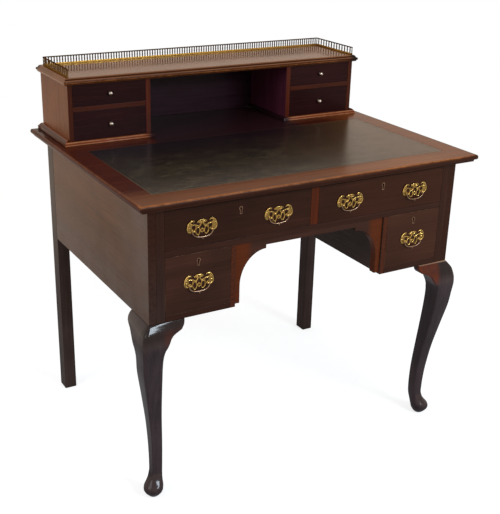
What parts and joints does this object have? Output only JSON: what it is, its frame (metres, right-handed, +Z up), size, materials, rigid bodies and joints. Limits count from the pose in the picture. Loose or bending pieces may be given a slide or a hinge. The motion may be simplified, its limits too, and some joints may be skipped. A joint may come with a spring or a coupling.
{
  "type": "writing desk",
  "caption": "Kneehole writing desk on cabriole front legs, with leather-inset top, drawers with brass bail pulls, and a raised stage of small drawers with a brass gallery.",
  "frame": {"origin": "on the floor, below the middle of the writing top", "axes": "+X to the right of a person who sits at the desk, +Y towards its back, +Z up"},
  "size_m": [0.912, 0.7, 0.938],
  "materials": {
    "mahogany": "polished, dark reddish brown",
    "mahogany_side": "polished, lit grey brown",
    "mahogany_red": "polished, red brown",
    "mahogany_dark": "polished, nearly black brown",
    "leather": "black-green, worn and waxed",
    "brass": "polished with dark patina in the recesses",
    "silvered_metal": "worn, pale"
  },
  "bodies": {
    "case": {"back_leg_left": "mahogany", "back_leg_right": "mahogany", "cabriole_leg_left": "mahogany", "cabriole_leg_right": "mahogany", "case_back": "mahogany_dark", "centre_division": "mahogany_red", "divider_left": "mahogany_red", "divider_right": "mahogany_red", "end_panel_left": "mahogany_side", "end_panel_right": "mahogany_side", "frieze_board": "mahogany_red", "front_stile_left": "mahogany_red", "front_stile_right": "mahogany_red", "gallery_back": "brass", "gallery_left": "brass", "gallery_right": "brass", "kneehole_apron": "mahogany_red", "leather_inset": "leather", "partition_left": "mahogany_red", "partition_right": "mahogany_red", "pedestal_bottom_left": "mahogany_red", "pedestal_bottom_right": "mahogany_red", "pedestal_panel_left": "mahogany_red", "pedestal_panel_right": "mahogany_red", "plinth_left": "mahogany", "plinth_right": "mahogany", "shelf": "mahogany", "side_panel_left": "mahogany_side", "side_panel_right": "mahogany_side", "stage_back": "mahogany_dark", "top_rail": "mahogany_red", "writing_top": "mahogany"},
    "frieze_drawer_left": {"backplate_frieze_inner_left": "brass", "backplate_frieze_outer_left": "brass", "frieze_drawer_left": "mahogany_dark", "frieze_lock_left": "brass"},
    "pedestal_drawer_left": {"backplate_pedestal_left": "brass", "pedestal_drawer_left": "mahogany_dark", "pedestal_lock_left": "brass"},
    "frieze_drawer_right": {"backplate_frieze_inner_right": "brass", "backplate_frieze_outer_right": "brass", "frieze_drawer_right": "mahogany_dark", "frieze_lock_right": "brass"},
    "pedestal_drawer_right": {"backplate_pedestal_right": "brass", "pedestal_drawer_right": "mahogany_dark", "pedestal_lock_right": "brass"},
    "small_drawer_lower_left": {"knob_lower_left": "silvered_metal", "small_drawer_lower_left": "mahogany_dark"},
    "small_drawer_lower_right": {"knob_lower_right": "silvered_metal", "small_drawer_lower_right": "mahogany_dark"},
    "small_drawer_upper_left": {"knob_upper_left": "silvered_metal", "small_drawer_upper_left": "mahogany_dark"},
    "small_drawer_upper_right": {"knob_upper_right": "silvered_metal", "small_drawer_upper_right": "mahogany_dark"},
    "bail_frieze_inner_left": {"bail_frieze_inner_left": "brass"},
    "bail_frieze_outer_left": {"bail_frieze_outer_left": "brass"},
    "bail_pedestal_left": {"bail_pedestal_left": "brass"},
    "bail_frieze_inner_right": {"bail_frieze_inner_right": "brass"},
    "bail_frieze_outer_right": {"bail_frieze_outer_right": "brass"},
    "bail_pedestal_right": {"bail_pedestal_right": "brass"}
  },
  "joints": [
    {"name": "frieze_drawer_left_slide", "type": "slide", "parent": "case", "child": "frieze_drawer_left", "axis": [0, -1, 0], "range_m": [0, 0.4]},
    {"name": "pedestal_drawer_left_slide", "type": "slide", "parent": "case", "child": "pedestal_drawer_left", "axis": [0, -1, 0], "range_m": [0, 0.4]},
    {"name": "frieze_drawer_right_slide", "type": "slide", "parent": "case", "child": "frieze_drawer_right", "axis": [0, -1, 0], "range_m": [0, 0.4]},
    {"name": "pedestal_drawer_right_slide", "type": "slide", "parent": "case", "child": "pedestal_drawer_right", "axis": [0, -1, 0], "range_m": [0, 0.4]},
    {"name": "small_drawer_lower_left_slide", "type": "slide", "parent": "case", "child": "small_drawer_lower_left", "axis": [0, -1, 0], "range_m": [0, 0.13]},
    {"name": "small_drawer_lower_right_slide", "type": "slide", "parent": "case", "child": "small_drawer_lower_right", "axis": [0, -1, 0], "range_m": [0, 0.13]},
    {"name": "small_drawer_upper_left_slide", "type": "slide", "parent": "case", "child": "small_drawer_upper_left", "axis": [0, -1, 0], "range_m": [0, 0.13]},
    {"name": "small_drawer_upper_right_slide", "type": "slide", "parent": "case", "child": "small_drawer_upper_right", "axis": [0, -1, 0], "range_m": [0, 0.13]},
    {"name": "bail_frieze_inner_left_hinge", "type": "hinge", "parent": "frieze_drawer_left", "child": "bail_frieze_inner_left", "pos_m": [-0.09935, -0.3145, 0.6643], "axis": [-1, 0, 0], "range_deg": [0, 95]},
    {"name": "bail_frieze_outer_left_hinge", "type": "hinge", "parent": "frieze_drawer_left", "child": "bail_frieze_outer_left", "pos_m": [-0.29415, -0.3145, 0.6643], "axis": [-1, 0, 0], "range_deg": [0, 95]},
    {"name": "bail_pedestal_left_hinge", "type": "hinge", "parent": "pedestal_drawer_left", "child": "bail_pedestal_left", "pos_m": [-0.3013, -0.3145, 0.5368], "axis": [-1, 0, 0], "range_deg": [0, 95]},
    {"name": "bail_frieze_inner_right_hinge", "type": "hinge", "parent": "frieze_drawer_right", "child": "bail_frieze_inner_right", "pos_m": [0.09935, -0.3145, 0.6643], "axis": [-1, 0, 0], "range_deg": [0, 95]},
    {"name": "bail_frieze_outer_right_hinge", "type": "hinge", "parent": "frieze_drawer_right", "child": "bail_frieze_outer_right", "pos_m": [0.29415, -0.3145, 0.6643], "axis": [-1, 0, 0], "range_deg": [0, 95]},
    {"name": "bail_pedestal_right_hinge", "type": "hinge", "parent": "pedestal_drawer_right", "child": "bail_pedestal_right", "pos_m": [0.3013, -0.3145, 0.5368], "axis": [-1, 0, 0], "range_deg": [0, 95]}
  ]
}
